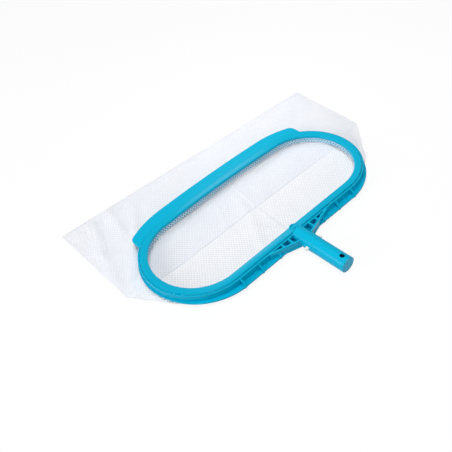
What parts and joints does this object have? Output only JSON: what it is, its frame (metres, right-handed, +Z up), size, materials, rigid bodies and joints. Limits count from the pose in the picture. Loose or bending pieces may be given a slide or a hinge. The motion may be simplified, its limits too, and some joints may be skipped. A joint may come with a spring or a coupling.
{
  "type": "leaf skimmer net",
  "caption": "Shallow mesh bag clamped between a long oval frame and its snap ring, with a flat scoop blade and a tube with sprung locking buttons for a telescopic pole.",
  "frame": {"origin": "on the axis of the pole tube, at the outer end face of its plug", "axes": "+Y runs from the tube's outer end towards the scoop blade, +X along the ring's long side, +Z up out of the bag's mouth"},
  "size_m": [0.594, 0.4302, 0.0284],
  "materials": {
    "frame_plastic": "moulded polypropylene, satin gloss",
    "ring_plastic": "moulded polypropylene, satin gloss",
    "mesh": "white knitted polyester mesh",
    "clip_nylon": "moulded white nylon"
  },
  "bodies": {
    "head": {"main_frame": "frame_plastic", "snap_ring": "ring_plastic", "net_bag": "mesh", "end_plug": "frame_plastic", "spring_clip": "clip_nylon"},
    "button_left": {"button_left": "clip_nylon"},
    "button_right": {"button_right": "clip_nylon"}
  },
  "joints": [
    {"name": "button_left_press", "type": "slide", "parent": "head", "child": "button_left", "axis": [1, 0, 0], "range_m": [0, 0.0055], "stiffness_N_per_m": 1800, "deforming": ["spring_clip"]},
    {"name": "button_right_press", "type": "slide", "parent": "head", "child": "button_right", "axis": [-1, 0, 0], "range_m": [0, 0.0055], "stiffness_N_per_m": 1800, "deforming": ["spring_clip"]}
  ]
}
